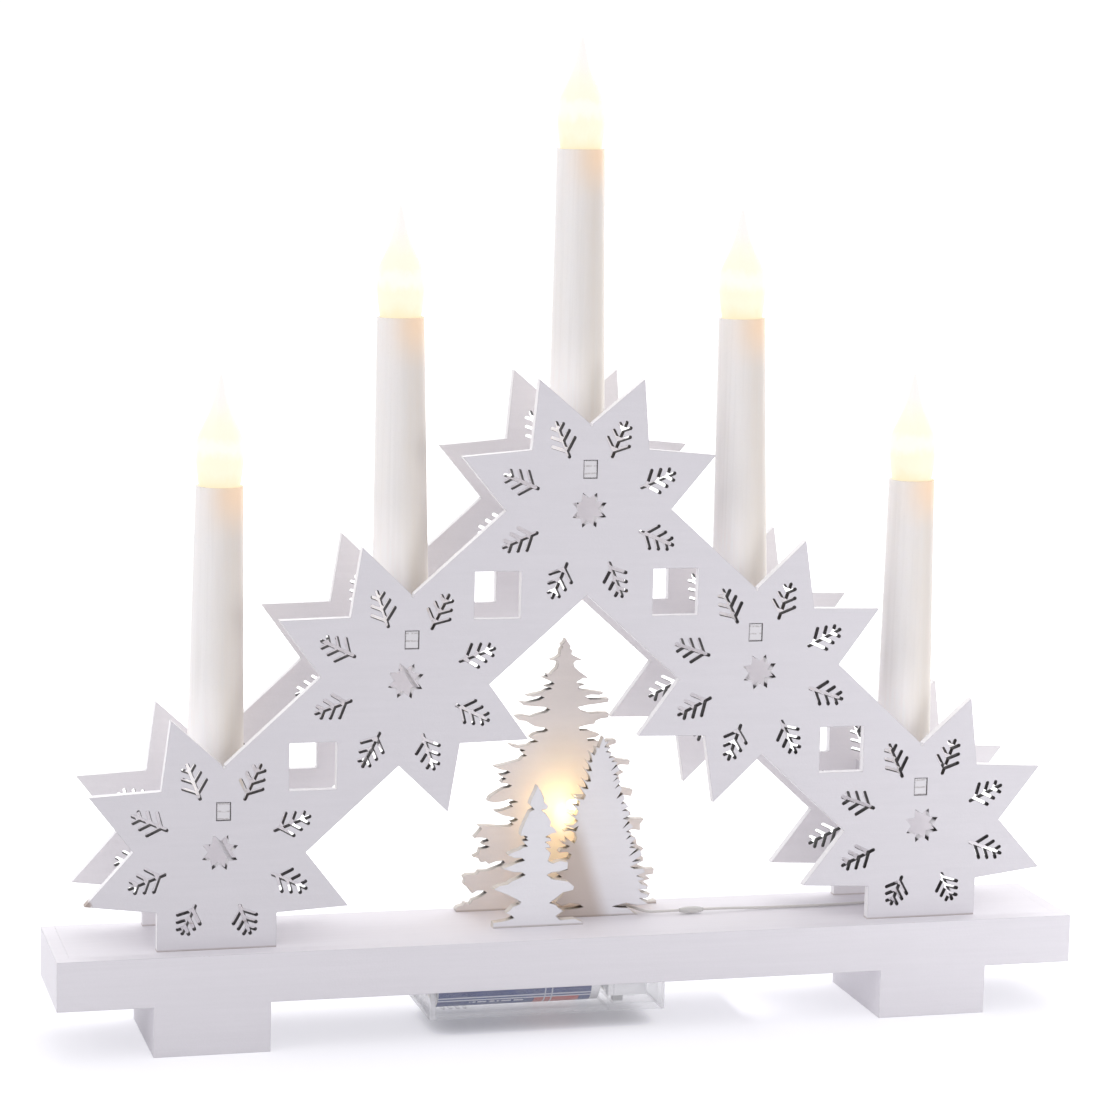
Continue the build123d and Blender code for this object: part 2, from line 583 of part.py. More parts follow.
# The block glued behind the middle tree, which the lamp is pushed into from the left
def tree_lamp_holder():
    x, y, z = lamp_axis()
    half = holder_side / 2
    solid = block((x, y - half, z - half), (x + holder_length, y + half, z + half))
    bore = Rot(0, 90, 0) * Cylinder(tree_lamp_diameter / 2, holder_length)
    wire_bore = Cylinder(tree_wire_diameter / 2 + wire_clearance, holder_side)
    return solid - Pos(x, y, z) * bore - Pos(x + 3 * holder_length / 4, y, z - half) * wire_bore


def tree_lamp():
    x, y, z = lamp_axis()
    radius = tree_lamp_diameter / 2
    length = tree_lamp_length - radius
    body = Rot(0, -90, 0) * Cylinder(radius, length, align=(Align.CENTER, Align.CENTER, Align.MIN))
    dome = Pos(-length, 0, 0) * Sphere(radius)
    return Pos(x + holder_length / 2, y, z) * (body + dome)


# A wire along a route of straight runs joined by the largest arcs that the runs allow
def wire(points, diameter, name):
    corners = [Vector(*point) for point in points]
    radii = []
    for before, corner, after in zip(corners, corners[1:], corners[2:]):
        arriving = corner - before
        leaving = after - corner
        turn = math.radians(arriving.get_angle(leaving))
        radii.append(wire_arc_share * min(arriving.length, leaving.length) / math.tan(turn / 2))
    path = FilletPolyline(*corners, radius=radii)
    section = Plane(origin=path @ 0, z_dir=path % 0) * Circle(diameter / 2)
    tube = sweep(section, path=path.wire())
    drawn = math.pi * diameter ** 2 / 4 * path.wire().length
    print(name, "radii", [round(radius, 1) for radius in radii], "length", round(path.wire().length, 1),
          "volume share", round(tube.volume / drawn, 4))
    return tube


# Routes of the wires: offsets from the place where each stretch begins, X counted towards the middle
lead_in_route = [(0.0, 0.0, 0.0), (0.4, -1.2, -6.5), (1.6, -7.8, -13.0)]
star_pass_route = [(-13.5, 0.0, -8.5), (5.0, 0.0, -14.5)]
lead_out_route = [(-11.0, 0.0, -10.0), (-4.6, 4.6, -18.9), (-0.8, 10.4, -25.2), (-0.2, 11.6, -33.9),
                  (-3.2, 10.8, -38.9), (-16.1, 8.2, -39.3), (-31.2, 7.8, -38.5)]
drop_route = [(0.0, 0.0, 0.0), (-0.8, -1.0, -6.0), (-3.0, -6.4, -10.6), (-5.4, -11.2, -13.4)]
lamp_drop_route = [(0.0, 0.0, 0.0), (0.6, 0.3, -9.4), (2.6, 0.0, -19.4), (6.5, -0.5, -26.5),
                   (11.5, -0.9, -28.7), (17.6, -6.3, -30.2)]
sleeve_route = [(-9.0, 0.0, -0.05), (9.2, 0.1, 0.05), (22.0, 1.3, -0.65), (46.0, 0.8, -0.65)]
hole_route = [(-9.0, 1.0, 0.65), (-3.0, 1.7, 0.9), (-0.2, 1.6, -2.6), (0.2, 1.6, -5.4), (-3.0, 1.2, -9.5),
              (-12.1, -0.7, -9.8), (-28.1, -0.3, -8.8)]
box_left_route = [(-9.0, 0.3, 0.1), (6.0, 0.0, 0.0), (28.3, 0.2, 0.3), (58.5, 0.0, 0.0)]
box_right_route = [(18.0, 0.6, 0.0), (-1.0, 0.0, 0.0)]


def places(anchor, route, side=1):
    x, y, z = anchor
    return [(x + side * dx, y + dy, z + dz) for dx, dy, dz in route]


def behind_star(star):
    return (star[0], harness_y, plinth_top + star[1])


# The middle of a band's lower edge, drawn into the band so that no window shows the wire
def behind_edge(lower, upper, side):
    low_x, low_z = star_point(lower, star_notch_radius, 0 if side > 0 else 180)
    high_x, high_z = star_point(upper, star_notch_radius, 270)
    return ((low_x + high_x) / 2 - side * edge_inset, harness_y, (low_z + high_z) / 2 + edge_inset)


# Where the lead in a candle's spigot ends
def lead_end(star, lean):
    bottom = candle_place(star, lean) * Pos(0, 0, -shelf_thickness - spigot_drop)
    x, y, z = bottom.position
    return (x, y, z - lead_gap)


def harness_left():
    route = places(lead_end(stars[2], candle_leans[2]), lead_in_route, -1)
    route.append(behind_edge(stars[1], stars[2], 1))
    route += places(behind_star(stars[1]), star_pass_route, -1)
    route.append(behind_edge(stars[0], stars[1], 1))
    route += places(behind_star(stars[0]), lead_out_route, -1)
    route += places((box_left, 0, box_wire_height), box_left_route)
    return wire(route, harness_diameter, "harness left")


def harness_right():
    route = places(lead_end(stars[3], candle_leans[3]), lead_in_route)
    route.append(behind_edge(stars[4], stars[3], -1))
    route += places(behind_star(stars[4]), lead_out_route)
    route += places((box_right, -box_wire_spread, box_wire_height), box_right_route)
    return wire(route, harness_diameter, "harness right")


# The short leads that join the other candles to the harness
def lead_drops():
    drops = []
    for index, side in ((0, -1), (1, -1), (4, 1)):
        start = lead_end(stars[index], candle_leans[index])
        drops.append(wire(places(start, drop_route, side), harness_diameter, "lead drop"))
    return drops


# The lead of the tree lamp: down behind the middle tree, along the plinth, and down into the right foot
def tree_wire():
    x, y, z = lamp_axis()
    start = (x + 3 * holder_length / 4, y, z - holder_side / 2)
    route = places(start, lamp_drop_route)
    route += places((sleeve_x, sleeve_y, sleeve_z), sleeve_route)
    route += places((outer_star_x, candle_y, plinth_top), hole_route)
    route += places((box_right, box_wire_spread, box_wire_height), box_right_route)
    return wire(route, tree_wire_diameter, "tree wire")


# Outline of the sleeve: share of its radius, share of its half length
sleeve_shares = [(0.8, -0.7), (1.0, 0.0), (0.8, 0.7)]


# A clear sleeve over the joint in the tree lamp's lead
def wire_sleeve():
    radius = sleeve_diameter / 2
    half = sleeve_length / 2
    bore_radius = tree_wire_diameter / 2 + wire_clearance
    points = [Vector(share * radius, 0, along * half) for share, along in sleeve_shares]
    side = Spline(Vector(bore_radius, 0, -half), *points, Vector(bore_radius, 0, half))
    bore_line = Line(side @ 1, side @ 0)
    solid = revolve(make_face([side.edge(), bore_line.edge()]), Axis.Z)
    return Pos(sleeve_x, sleeve_y, sleeve_z) * Rot(0, 90, 0) * solid


def battery_box():
    solid = block((box_left, -box_half, box_bottom), (box_right, box_half, board_top))
    solid = solid - block((bay_left, -box_inner_half, box_bottom - overrun),
                          (bay_right, box_inner_half, box_ceiling))
    solid = solid - block((box_left - overrun, -box_inner_half, box_bottom - overrun),
                          (bay_left, box_inner_half, groove_top))
    groove_half = box_inner_half + groove_depth
    solid = solid - block((box_left - overrun, -groove_half, groove_low),
                          (bay_right, groove_half, groove_top))
    solid = solid - block((switch_bay_left, -box_inner_half, box_bottom + box_wall),
                          (switch_bay_right, box_inner_half, box_ceiling))
    slot_half = (knob_length + switch_travel) / 2 + joint_clearance
    slot_width = knob_width / 2 + joint_clearance
    solid = solid - block((switch_x - slot_half, -slot_width, box_bottom - overrun),
                          (switch_x + slot_half, slot_width, box_bottom + box_wall + overrun))
    for x in screw_xs:
        solid = solid - Pos(x, 0, board_top) * Cylinder(screw_diameter / 2 + screw_clearance, 4 * box_wall)
    hole = Rot(0, 90, 0) * Cylinder(box_wire_hole_diameter / 2, 4 * box_wall)
    for x, y in ((box_left, 0), (bay_right, 0), (box_right, -box_wire_spread), (box_right, box_wire_spread)):
        solid = solid - Pos(x, y, box_wire_height) * hole
    return solid


# The cover slides in the grooves of the box and closes its open end with a lip
def battery_cover():
    half = box_inner_half + groove_depth - joint_clearance
    low = groove_low + joint_clearance
    high = groove_top - joint_clearance
    lip_half = box_inner_half - joint_clearance
    solid = block((box_left, -half, low), (bay_right - joint_clearance, half, high))
    solid = solid + block((box_left, -lip_half, box_bottom), (bay_left - joint_clearance, lip_half, high))
    for k in range(grip_rib_count):
        x = bay_left + 2 * grip_rib_pitch + k * grip_rib_pitch
        solid = solid + block((x, -grip_rib_length / 2, box_bottom + joint_clearance),
                              (x + grip_rib_width, grip_rib_length / 2, high))
    return solid


# A cell lies along X, its nub to the left for side -1 and to the right for side 1
def battery_cell(side):
    body_length = cell_length - nub_length
    if side < 0:
        nub_x = bay_left + contact_thickness
        body_left = nub_x + nub_length
    else:
        nub_x = bay_right - contact_thickness - nub_length
        body_left = nub_x - body_length
    body = Rot(0, 90, 0) * Cylinder(cell_diameter / 2, body_length)
    nub = Rot(0, 90, 0) * Cylinder(nub_diameter / 2, nub_length)
    y = side * cell_pitch / 2
    return Pos(body_left + body_length / 2, y, cell_z) * body + Pos(nub_x + nub_length / 2, y, cell_z) * nub


def contact_plates():
    half = contact_width / 2
    plates = []
    for side in (-1, 1):
        y = side * cell_pitch / 2
        x = bay_left if side < 0 else bay_right - contact_thickness
        plates.append(block((x, y - half, cell_z - half), (x + contact_thickness, y + half, cell_z + half)))
    return plates


# Bowed leaf springs at the flat ends of the cells
def contact_springs():
    half = contact_width / 2
    springs = []
    for side in (-1, 1):
        outer = ThreePointArc((0, -half), (spring_bow, 0), (0, half))
        inner = ThreePointArc((0, half - contact_thickness), (spring_bow - contact_thickness, 0),
                              (0, contact_thickness - half))
        ends = [Line(outer @ 1, inner @ 0), Line(inner @ 1, outer @ 0)]
        leaf = extrude(make_face([outer.edge(), inner.edge(), ends[0].edge(), ends[1].edge()]), contact_width)
        leaf = Pos(0, contact_width / 2, 0) * Rot(90, 0, 0) * leaf
        y = side * cell_pitch / 2
        if side > 0:
            springs.append(Pos(bay_left, y, cell_z) * leaf)
        else:
            springs.append(Pos(bay_right, y, cell_z) * Rot(0, 0, 180) * leaf)
    return springs


def box_screws():
    screws = []
    for x in screw_xs:
        head = Cylinder(screw_head_diameter / 2, screw_head_height)
        head = Pos(x, 0, box_ceiling - screw_head_height / 2) * head
        shank_length = box_wall + screw_bite
        shank = Pos(x, 0, box_ceiling + shank_length / 2) * Cylinder(screw_diameter / 2, shank_length)
        screws.append(head + shank)
    return screws


def slider_floor():
    return box_bottom + box_wall + joint_clearance


def switch_slider():
    half_length = knob_length / 2
    half_width = knob_width / 2
    rest_x = switch_x - switch_travel / 2
    low = slider_floor()
    knob = block((rest_x - half_length, -half_width, box_bottom - knob_drop),
                 (rest_x + half_length, half_width, low + flange_thickness))
    margin = flange_margin
    flange = block((rest_x - half_length - margin, -half_width - margin, low),
                   (rest_x + half_length + margin, half_width + margin, low + flange_thickness))
    return knob + flange


# The switch's metal case stands over the slider on two side walls
def switch_body():
    low = box_bottom + box_wall
    cavity_top = slider_floor() + flange_thickness + joint_clearance
    half_length = switch_length / 2 + flange_margin
    half_width = switch_width / 2 + 2 * flange_margin
    inner_half = knob_width / 2 + flange_margin + joint_clearance
    solid = block((switch_x - half_length, -half_width, low),
                  (switch_x + half_length, half_width, low + switch_height))
    return solid - block((switch_x - half_length - overrun, -inner_half, low - overrun),
                         (switch_x + half_length + overrun, inner_half, cavity_top))


def write(name, solids):
    group = solids if isinstance(solids, list) else [solids]
    parts = [solid for item in group for solid in item.solids()]
    shape = parts[0] if len(parts) == 1 else Compound(children=parts)
    shape.label = name
    export_step(shape, "parts/" + name + ".step")


def main():
    os.makedirs("parts", exist_ok=True)
    write("front_plate", foot_plate(-plinth_depth / 2, plinth_length, plinth_top))
    write("back_plate", foot_plate(plinth_depth / 2 - board, inner_length, board_top))
    write("top_board", top_board())
    for name, side in (("left", -1), ("right", 1)):
        write(name + "_end_board", end_board(side))
        write(name + "_foot_outer_board", foot_board(foot_outer_x, side, False))
        write(name + "_foot_inner_board", foot_board(foot_inner_x + board, side, True))
    write("front_star_panel", star_panel(front_panel_y))
    write("back_star_panel", star_panel(back_panel_y))
    tube = candle_tube()
    plug = candle_plug()
    bulb = flame_bulb()
    lamp = candle_lamp()
    lead = candle_lead()
    leads = []
    for number, (star, lean) in enumerate(zip(stars, candle_leans), 1):
        place = candle_place(star, lean)
        write("candle_shelf_" + str(number), candle_shelf(star))
        write("candle_tube_" + str(number), place * tube)
        write("candle_plug_" + str(number), place * plug)
        write("flame_bulb_" + str(number), place * bulb)
        write("candle_lamp_" + str(number), place * lamp)
        leads.append(place * lead)
    write("candle_leads", leads)
    write("tall_tree", fir_tree(tall_left_shares, tall_right_shares, tall_tree_width, tall_tree_height,
                                tall_tree_x, back_panel_y))
    write("middle_tree", fir_tree(middle_left_shares, middle_right_shares, middle_tree_width,
                                  middle_tree_height, middle_tree_x, middle_tree_y))
    write("small_tree", fir_tree(small_left_shares, small_right_shares, small_tree_width, small_tree_height,
                                 small_tree_x, small_tree_y))
    write("tree_lamp_holder", tree_lamp_holder())
    write("tree_lamp", tree_lamp())
    write("tree_wire", tree_wire())
    write("wire_sleeve", wire_sleeve())
    write("harness_left", harness_left())
    write("harness_right", harness_right())
    write("lead_drops", lead_drops())
    write("battery_box", battery_box())
    write("battery_cover", battery_cover())
    write("battery_cell_front", battery_cell(-1))
    write("battery_cell_back", battery_cell(1))
    write("contact_plates", contact_plates())
    write("contact_springs", contact_springs())
    write("box_screws", box_screws())
    write("switch_body", switch_body())
    write("switch_slider", switch_slider())


main()
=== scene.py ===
import math
from functools import reduce
import bpy
from mathutils import Matrix, Vector


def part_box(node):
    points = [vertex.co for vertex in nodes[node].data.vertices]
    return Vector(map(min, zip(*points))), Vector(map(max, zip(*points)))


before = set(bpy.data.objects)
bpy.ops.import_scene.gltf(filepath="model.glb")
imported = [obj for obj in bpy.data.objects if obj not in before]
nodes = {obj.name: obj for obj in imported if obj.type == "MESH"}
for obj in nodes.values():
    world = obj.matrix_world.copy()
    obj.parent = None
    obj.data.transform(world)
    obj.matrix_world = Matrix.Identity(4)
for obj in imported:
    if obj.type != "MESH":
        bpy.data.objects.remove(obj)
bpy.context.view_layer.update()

# One frame with the CAD: metres, X along the plinth, Y to the back, Z up. Finishes and the floor are laid
# out in millimetres, the camera and the lights in metres.
mm = 0.001
black = (0.0, 0.0, 0.0)
white = (1.0, 1.0, 1.0)
softWhite = (1.0, 0.99, 1.0)
print("stage: frame loaded", len(nodes), "nodes")


# Low and high corner of a node in millimetres
def boxOf(name):
    low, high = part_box(name)
    return Vector(low) / mm, Vector(high) / mm


def middleOf(name):
    low, high = boxOf(name)
    return (low + high) / 2


def named(start):
    return [name for name in nodes if name.startswith(start)]


def darker(colour, share):
    return tuple(part * share for part in colour)


# A shader value that takes part in Python expressions
class Value:
    def __init__(self, graph, socket):
        self.graph = graph
        self.socket = socket

    def maths(self, operation, *others):
        return self.graph.maths(operation, self, *others)

    def __add__(self, other):
        return self.maths("ADD", other)

    def __sub__(self, other):
        return self.maths("SUBTRACT", other)

    def __mul__(self, other):
        return self.maths("MULTIPLY", other)

    def __truediv__(self, other):
        return self.maths("DIVIDE", other)

    def __pow__(self, power):
        return self.maths("POWER", power)

    def __abs__(self):
        return self.maths("ABSOLUTE")

    def __rsub__(self, other):
        return self.graph.maths("SUBTRACT", other, self)

    __radd__ = __add__
    __rmul__ = __mul__

    def atLeast(self, other):
        return self.maths("MAXIMUM", other)

    # 0 below the first edge and 1 above the second, with a soft ramp between
    def ramp(self, low, high):
        settings = {"interpolation_type": "SMOOTHSTEP"}
        inputs = {"Value": self, "From Min": low, "From Max": high}
        return self.graph.node("ShaderNodeMapRange", settings, inputs)

    # 1 between the two edges and 0 outside them, with ramps as wide as the softness
    def band(self, low, high, soft):
        return self.ramp(low - soft, low) * (1.0 - self.ramp(high, high + soft))


# A node tree whose nodes are all made by one method
class Graph:
    def __init__(self, tree):
        self.tree = tree
        tree.nodes.clear()

    def node(self, kind, settings, inputs, output=0):
        made = self.tree.nodes.new(kind)
        for key, value in settings.items():
            setattr(made, key, value)
        for key, value in inputs.items():
            self.put(made.inputs[key], value)
        return Value(self, made.outputs[output]) if made.outputs else made

    def put(self, socket, value):
        if isinstance(value, Value):
            self.tree.links.new(value.socket, socket)
        elif isinstance(value, tuple) and len(value) == 3 and socket.type == "RGBA":
            socket.default_value = (*value, 1.0)
        else:
            socket.default_value = value

    def maths(self, operation, *terms):
        return self.node("ShaderNodeMath", {"operation": operation}, dict(enumerate(terms)))

    # Mixes two colours
    def mix(self, factor, low, high):
        return self.node("ShaderNodeMix", {"data_type": "RGBA"}, {0: factor, 6: low, 7: high}, 2)

    # Mixes two numbers
    def blend(self, factor, low, high):
        return self.node("ShaderNodeMix", {}, {0: factor, 2: low, 3: high})

    def split(self, vector):
        return [self.node("ShaderNodeSeparateXYZ", {}, {0: vector}, axis) for axis in range(3)]

    # 1 where the camera sees the surface itself, in a mirror or through glass
    def seenRay(self):
        kinds = ("Is Camera Ray", "Is Glossy Ray", "Is Transmission Ray")
        camera, glossy, passed = [self.node("ShaderNodeLightPath", {}, {}, kind) for kind in kinds]
        return camera.atLeast(glossy).atLeast(passed)

    # 1 in the open and less in corners, as far as the reach; ownOnly looks at no other piece
    def openness(self, reach, ownOnly=False):
        settings = {"samples": 8, "only_local": ownOnly}
        return self.node("ShaderNodeAmbientOcclusion", settings, {"Distance": reach * mm}, "AO")


# One material around a Principled shader; its place is in millimetres on the object
class Finish(Graph):
    def __init__(self, name, **constants):
        self.material = bpy.data.materials.new(name)
        self.material.use_nodes = True
        super().__init__(self.material.node_tree)
        self.shader = self.node("ShaderNodeBsdfPrincipled", {}, {})
        self.node("ShaderNodeOutputMaterial", {}, {"Surface": self.shader})
        for key, value in constants.items():
            self.set(key, value)
        raw = self.node("ShaderNodeTexCoord", {}, {}, "Object")
        self.point = self.node("ShaderNodeVectorMath", {"operation": "SCALE"}, {0: raw, "Scale": 1 / mm})
        self.x, self.y, self.z = self.split(self.point)

    # Sets an input of the shader, with spaces for the capitals: baseColor is Base Color
    def set(self, key, value):
        name = "".join(" " + letter if letter.isupper() else letter for letter in key).title()
        self.put(self.shader.socket.node.inputs[name.replace("Ior", "IOR")], value)

    # How far a face looks to the back: -1 at the front, 0 on the walls and 1 at the back
    def facing(self):
        return self.split(self.node("ShaderNodeNewGeometry", {}, {}, "True Normal"))[1]

    # 1 on faces that look along Y, to the front or the back
    def flats(self):
        return abs(self.facing()).ramp(0.4, 0.6)

    # Distance from a point, as seen from the front; the squash makes the way up and down count for less
    def away(self, x, z, squash=1.0):
        return ((self.x - x) ** 2 + ((self.z - z) * squash) ** 2) ** 0.5

    # Noise between 0 and 1, with its waves per millimetre: one number, or one for each axis
    def noise(self, waves, detail=3.0, roughness=0.55):
        stretch = waves if isinstance(waves, tuple) else (waves, waves, waves)
        scaled = self.node("ShaderNodeVectorMath", {"operation": "MULTIPLY"}, {0: self.point, 1: stretch})
        inputs = {"Vector": scaled, "Scale": 1.0, "Detail": detail, "Roughness": roughness}
        return self.node("ShaderNodeTexNoise", {}, inputs, "Fac")

    # The direction that a face looks in, with the edges rounded by the radius
    def rounded(self, radius):
        return self.node("ShaderNodeBevel", {"samples": 4}, {"Radius": radius * mm})

    # Rounds the edges by the radius and adds the height, both in millimetres
    def relief(self, height, radius):
        inputs = {"Height": height, "Distance": mm, "Strength": 1.0, "Normal": self.rounded(radius)}
        self.set("normal", self.node("ShaderNodeBump", {}, inputs))

    # 1 on edges that a rounding by the radius would take off, 0 on flats
    def edges(self, radius, low=0.02, high=0.3):
        flat = self.node("ShaderNodeNewGeometry", {}, {}, "Normal")
        directions = {0: self.rounded(radius), 1: flat}
        same = self.node("ShaderNodeVectorMath", {"operation": "DOT_PRODUCT"}, directions, "Value")
        return (1.0 - same).ramp(low, high)


def dress(names, finish):
    for name in names:
        for slot in nodes[name].material_slots:
            slot.material = finish.material


# White paint on wood. Grain, mottle and speck are waves per millimetre, the shares say how much each of them
# lightens the paint, and the heights how far it stands out
paint = {"boardGrain": (0.03, 0.9, 0.9), "plyGrain": (0.05, 0.6, 0.6), "mottle": 0.11, "speck": 1.7,
         "lineShare": 0.45, "mottleShare": 0.35, "speckShare": 0.2, "dark": 0.95,
         "lineHeight": 0.05, "mottleHeight": 0.05, "speckHeight": 0.03, "softEdge": 0.35,
         "roughness": 0.42, "uneven": 0.2, "rubbedEdge": 0.5, "rubbed": (0.93, 1.12),
         # dirt is the brown of the chipped tip, and also a painted shadow where pieces meet the plinth
         "bareWood": (0.42, 0.31, 0.22), "dirt": (0.33, 0.24, 0.19)}


# Grain lines along X, roller mottling, fine specks and rubbed edges
def paintFinish(name, colour, grain, wear):
    g = Finish(name)
    lines = g.noise(grain, detail=4.0, roughness=0.6)
    g.mottle = g.noise(paint["mottle"], detail=4.0, roughness=0.62)
    g.speck = g.noise(paint["speck"], detail=2.0)
    shade = lines.ramp(0.3, 0.75) * paint["lineShare"] + g.mottle * paint["mottleShare"]
    shade = shade + g.speck.ramp(0.3, 0.7) * paint["speckShare"]
    painted = g.mix(shade, darker(colour, paint["dark"]), colour)
    worn = (g.mottle + g.speck * 0.6).ramp(*paint["rubbed"])
    g.shade = g.mix(g.edges(paint["rubbedEdge"]) * worn * wear, painted, paint["bareWood"])
    g.set("baseColor", g.shade)
    g.set("roughness", paint["roughness"] + paint["uneven"] * g.speck)
    height = lines * paint["lineHeight"] + g.speck * paint["speckHeight"] + g.mottle * paint["mottleHeight"]
    g.relief(height, paint["softEdge"])
    return g


plinth = {"colour": (0.84, 0.818, 0.864), "wear": 0.8}
plinthTop = boxOf("top_board")[1].z
plinthNames = [name for name in nodes if name.endswith("_board") or name in ("front_plate", "back_plate")]
dress(plinthNames, paintFinish("plinthPaint", plinth["colour"], paint["boardGrain"], plinth["wear"]))
print("stage: plinth painted")


# Painted shadow: 1 where a piece meets the plinth's top, and 0 from the height upwards
def footShadow(g, height):
    return 1.0 - (g.z - plinthTop).ramp(0.1, height)


# Stars from left to right: middle across and up, and the turn in degrees. Round each middle stand the twigs,
# the tips of a small star and the tenon's hole. The walls of those fine cut-outs are scorched in two tones.
panel = {"stars": [(-107.65, 57.9, -2.1), (-53.95, 106.6, -3.8), (0.0, 155.8, 0.0), (53.95, 106.6, 3.8),
                   (107.65, 57.9, 2.1)],
         "twigCount": 8, "twigs": (16.2, 28.6), "twigWidth": 5.6, "smallStar": (4.7, 6.8),
         "tenonHalfWidth": 3.8, "tenon": (8.2, 16.2),
         # The walls' colour is a painted highlight: the panels' walls are lighter than their faces, as if
         # lit from the side
         "walls": (0.95, 0.94, 0.96), "scorched": ((0.008, 0.006, 0.008), (0.04, 0.032, 0.032)),
         "edge": 0.3, "edgeLine": (0.5, 0.46, 0.48), "edgeShade": 0.3,
         "chip": (-147.0, 43.3), "chipReach": (2.8, 4.2), "chipRagged": 2.0, "seam": 0.7, "wear": 0.35,
         # The back panel is painted lighter than the front, and its front faces glow: painted light where
         # the front panel shades it
         "front": {"colour": (0.759, 0.74, 0.782), "glow": 0.0, "chipped": 0.8},
         "back": {"colour": (0.87, 0.845, 0.87), "glow": 0.08, "chipped": 0.0}}


# 1 on the fine cut-outs of one star
def fineCuts(g, starX, starZ, turn):
    across = g.x - starX
    up = g.z - starZ
    radius = (across * across + up * up) ** 0.5
    # the turned angle, counted from twig to twig, as a distance from the nearest twig's line
    step = 360 / panel["twigCount"]
    count = g.maths("ARCTAN2", up, across) / math.radians(step) - (step / 2 + turn) / step
    offLine = abs(g.maths("PINGPONG", count, 0.5)) * radius * math.radians(step)
    width = panel["twigWidth"]
    twig = (1.0 - offLine.ramp(width, width + 0.4)) * radius.band(*panel["twigs"], soft=0.3)
    smallStar = radius.band(*panel["smallStar"], soft=0.6)
    halfWidth = panel["tenonHalfWidth"]
    tenon = (1.0 - abs(across).ramp(halfWidth, halfWidth + 0.2)) * radius.band(*panel["tenon"], soft=0.2)
    return twig.atLeast(smallStar).atLeast(tenon)


# Painted ply with scorched walls, other walls lightened as a painted highlight, a faint line along its
# edges, a painted shadow over the plinth and one chipped tip
def panelFinish(name, colour, glow, chipped):
    g = paintFinish(name, colour, paint["plyGrain"], panel["wear"])
    fine = reduce(Value.atLeast, [fineCuts(g, *star) for star in panel["stars"]])
    scorched = g.mix(g.speck.ramp(0.3, 0.7), *panel["scorched"])
    fromChip = g.away(*panel["chip"]) + g.speck * panel["chipRagged"]
    chip = (1.0 - fromChip.ramp(*panel["chipReach"])) * chipped
    flats = g.flats()
    line = g.edges(panel["edge"], high=0.2) * flats * panel["edgeShade"]
    # Painted shadow where the panel stands on the plinth, mixed with the real chip's brown
    seam = footShadow(g, panel["seam"]) * (0.3 + 0.4 * g.mottle)
    # the walls take the lighter colour, a painted highlight
    shade = g.mix(line, g.mix(flats, panel["walls"], g.shade), panel["edgeLine"])
    shade = g.mix(seam.atLeast(chip), shade, paint["dirt"])
    g.set("baseColor", g.mix((1.0 - flats) * fine, shade, scorched))
    # Painted light: a glow on the front faces, though the panel is no lamp
    g.set("emissionColor", g.mix(g.facing().ramp(-0.6, -0.4), colour, black))  # only the front faces glow
    g.set("emissionStrength", glow)
    return g


dress(["front_star_panel"], panelFinish("frontPanelPaint", **panel["front"]))
dress(["back_star_panel"], panelFinish("backPanelPaint", **panel["back"]))
print("stage: panels painted")

# The tenons' ends show a dark line round them and wavy dark lines between the layers of the ply
shelf = {"colour": (0.8, 0.785, 0.815), "wear": 0.2, "rim": 0.45, "rimLine": (0.05, 0.042, 0.045),
         "halfLayer": 1.1, "wavy": 1.2, "layerLine": (0.3, 0.26, 0.25), "layerShade": 0.5}


def shelfFinish():
    g = paintFinish("shelfPaint", shelf["colour"], paint["plyGrain"], shelf["wear"])
    low, high = boxOf("candle_shelf_3")
    middle = (low.y + high.y) / 2
    half = middle - low.y
    end = g.flats() * abs(g.y - middle).ramp(half - 0.5, half - 0.1)
    rim = g.edges(shelf["rim"], low=0.01, high=0.08)
    layer = 1.0 - g.maths("PINGPONG", g.z + g.mottle * shelf["wavy"], shelf["halfLayer"]).ramp(0.05, 0.4)
    layer = layer * end * g.speck.ramp(0.35, 0.6) * shelf["layerShade"]
    shade = g.mix(layer, g.shade, shelf["layerLine"])
    g.set("baseColor", g.mix(rim * end, shade, shelf["rimLine"]))
    return g


dress(named("candle_shelf"), shelfFinish())
print("stage: shelves painted")

# The trees' walls are pale at the branch tips and burnt black in the notches. The left of the middle tree
# has a painted shade. The lamp's light on the tall tree is painted on as a glow: it has a hot core, and is
# shifted across and up.
tree = {"wear": 0.3, "walls": ((0.66, 0.6, 0.54), (0.82, 0.78, 0.74)), "burnt": (0.03, 0.02, 0.018),
        "notch": 2.6, "notchOpen": (0.4, 0.62), "burntEdge": 0.45, "burntReach": (0.4, 0.68),
        "burntShade": 0.8, "seam": 0.8, "contactShadeStrength": 0.5,
        "shade": (0.56, 0.48, 0.44), "shadeSlope": 17.0, "shadeEdge": (-2.5, 4.0), "shadeRise": (0.4, 0.8),
        "glow": (0.6, 0.4, 0.12), "glowReach": (0.0, 21.0), "glowShift": (-1.8, -5.5), "glowSquash": 0.6,
        "core": (1.0, 0.95, 0.68), "coreReach": (0.5, 4.5)}
# The tall tree's warmer colour and its hot glow are painted lamp light; shaded is how much painted shade the
# middle tree gets
trees = {"tall_tree": {"colour": (0.91, 0.845, 0.81), "shaded": 0.0, "hot": 0.6},
         "middle_tree": {"colour": (0.87, 0.858, 0.895), "shaded": 0.9, "hot": 0.05},
         "small_tree": {"colour": (0.87, 0.862, 0.9), "shaded": 0.0, "hot": 0.0}}


# The lamp's light painted on a tree as a glow, which the back faces don't have
def lampGlow(g):
    lamp = middleOf("tree_lamp")
    shiftX, shiftZ = tree["glowShift"]
    away = g.away(lamp.x + shiftX, lamp.z + shiftZ, tree["glowSquash"])
    glow = g.mix(away.ramp(*tree["glowReach"]), tree["glow"], black)
    glow = g.mix(away.ramp(*tree["coreReach"]), tree["core"], glow)
    return g.mix(g.facing().ramp(0.2, 0.6), glow, black)


